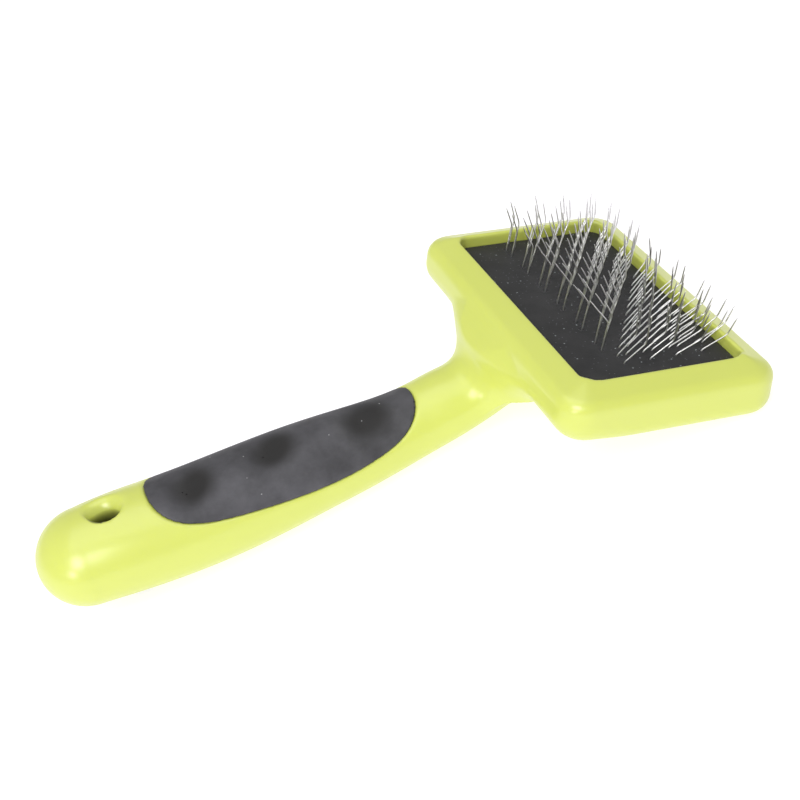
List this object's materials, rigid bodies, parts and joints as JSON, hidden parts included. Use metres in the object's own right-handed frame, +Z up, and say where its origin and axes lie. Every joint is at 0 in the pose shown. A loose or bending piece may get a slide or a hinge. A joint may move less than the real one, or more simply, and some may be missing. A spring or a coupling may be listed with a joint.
{
  "type": "slicker brush",
  "caption": "Pet slicker brush with a wide rectangular head, fine bent wire pins in a rubber-faced pad, and a curved handle with a soft dimpled grip and a hanging hole.",
  "frame": {"origin": "centre of the bounding box's base, with the brush lying on its back on a table", "axes": "+X from the handle's butt towards the head, +Z up and out of the pins' side, Y across the head"},
  "size_m": [0.1898, 0.1, 0.0353],
  "materials": {
    "body_plastic": "smooth lime green moulded plastic with a soft gloss",
    "grip_rubber": "matte charcoal soft-touch rubber",
    "pad_rubber": "matte black rubber sheet",
    "cushion_foam": "open-cell grey foam, hidden under the face",
    "foundation_cloth": "laminated woven cloth, hidden under the foam",
    "pin_steel": "bright drawn steel wire"
  },
  "bodies": {
    "root": {"body": "body_plastic", "grip": "grip_rubber", "pad_face": "pad_rubber", "pad_cushion": "cushion_foam", "pad_foundation": "foundation_cloth", "pin_row_01": "pin_steel", "pin_row_02": "pin_steel", "pin_row_03": "pin_steel", "pin_row_04": "pin_steel", "pin_row_05": "pin_steel", "pin_row_06": "pin_steel", "pin_row_07": "pin_steel", "pin_row_08": "pin_steel", "pin_row_09": "pin_steel", "pin_row_10": "pin_steel", "pin_row_11": "pin_steel", "pin_row_12": "pin_steel"}
  },
  "joints": []
}
